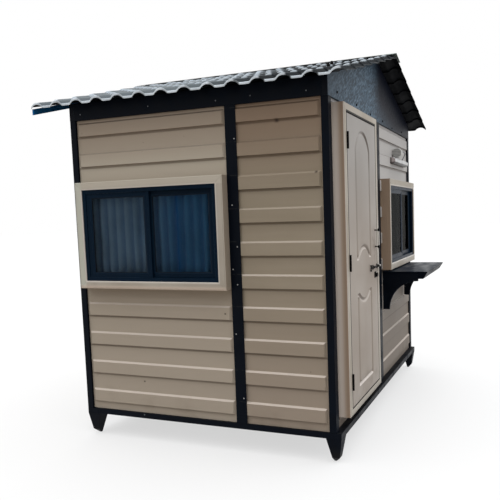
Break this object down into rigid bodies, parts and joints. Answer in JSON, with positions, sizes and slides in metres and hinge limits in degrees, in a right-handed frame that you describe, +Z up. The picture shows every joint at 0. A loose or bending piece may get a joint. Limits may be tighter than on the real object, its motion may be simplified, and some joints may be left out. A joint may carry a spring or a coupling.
{
  "type": "portable office cabin",
  "caption": "Steel-framed portable cabin with ribbed beige cladding, a hinged moulded door, sliding windows, a serving counter and a gable roof of tile-profile sheets.",
  "frame": {"origin": "bottom centre of the bounding box, on the ground under the cabin", "axes": "+Z up, -Y the front (gable end with the door and counter), +X to the right seen from the front"},
  "size_m": [2.9224, 2.676, 2.9564],
  "materials": {
    "frame_paint": "black paint on steel, satin, dusty",
    "eave_paint": "black paint on folded steel",
    "gable_paint": "dark blue-grey gloss paint over board, streaky",
    "cladding": "beige colour-coated steel sheet, satin",
    "trim_sheet": "beige colour-coated folded steel",
    "door_skin": "pale beige moulded door skin, satin",
    "ironmongery": "black steel hinges and bolt",
    "handle_metal": "dull steel pull handle",
    "window_aluminium": "navy powder-coated aluminium",
    "window_glass": "clear float glass",
    "curtain_cloth": "blue-grey gathered curtain",
    "fitting_plastic": "white plastic light fitting",
    "box_plastic": "grey plastic box",
    "roof_sheet": "dark grey-blue coated tile-profile sheet",
    "strip_paint": "blue paint on the barge board",
    "floor_board": "cement-bonded particle board"
  },
  "bodies": {
    "cabin": {"foot_front_left": "frame_paint", "foot_front_right": "frame_paint", "foot_back_left": "frame_paint", "foot_back_right": "frame_paint", "base_beam_front": "frame_paint", "base_beam_back": "frame_paint", "base_beam_left": "frame_paint", "base_beam_right": "frame_paint", "floor_bearers": "frame_paint", "floor_deck": "floor_board", "corner_post_front_left": "frame_paint", "corner_post_front_right": "frame_paint", "corner_post_back_left": "frame_paint", "corner_post_back_right": "frame_paint", "joint_strips": "frame_paint", "left_wall_front_bay": "cladding", "left_wall_window_bay": "cladding", "right_wall": "cladding", "back_wall": "cladding", "front_wall_hinge_side": "cladding", "front_wall_over_door": "cladding", "front_wall_under_door": "cladding", "front_wall_lock_side": "cladding", "front_wall_window_bay": "cladding", "door_frame": "trim_sheet", "hinges_on_frame": "ironmongery", "bolt_keeper": "ironmongery", "side_window_surround": "trim_sheet", "side_window_frame": "window_aluminium", "side_window_sashes": "window_aluminium", "side_window_glass": "window_glass", "side_window_curtain": "curtain_cloth", "front_window_surround": "trim_sheet", "front_window_frame": "window_aluminium", "front_window_sashes": "window_aluminium", "front_window_glass": "window_glass", "counter_top": "frame_paint", "counter_bracket_left": "frame_paint", "counter_bracket_right": "frame_paint", "light_fitting": "fitting_plastic", "switch_box": "box_plastic", "eave_beam_left": "eave_paint", "eave_beam_right": "eave_paint", "gable_board_front": "gable_paint", "gable_board_back": "gable_paint", "ridge_beam": "frame_paint", "roof_sheet_left": "roof_sheet", "roof_sheet_right": "roof_sheet", "ridge_cap": "roof_sheet", "barge_board_back": "strip_paint"},
    "door": {"door_leaf": "door_skin", "hinges_on_leaf": "ironmongery", "door_handle": "handle_metal", "door_bolt": "ironmongery"}
  },
  "joints": [
    {"name": "door_hinge", "type": "hinge", "parent": "cabin", "child": "door", "pos_m": [-1.1825, -1.0343, 1.3295], "axis": [0, 0, -1], "range_deg": [0, 110]}
  ]
}
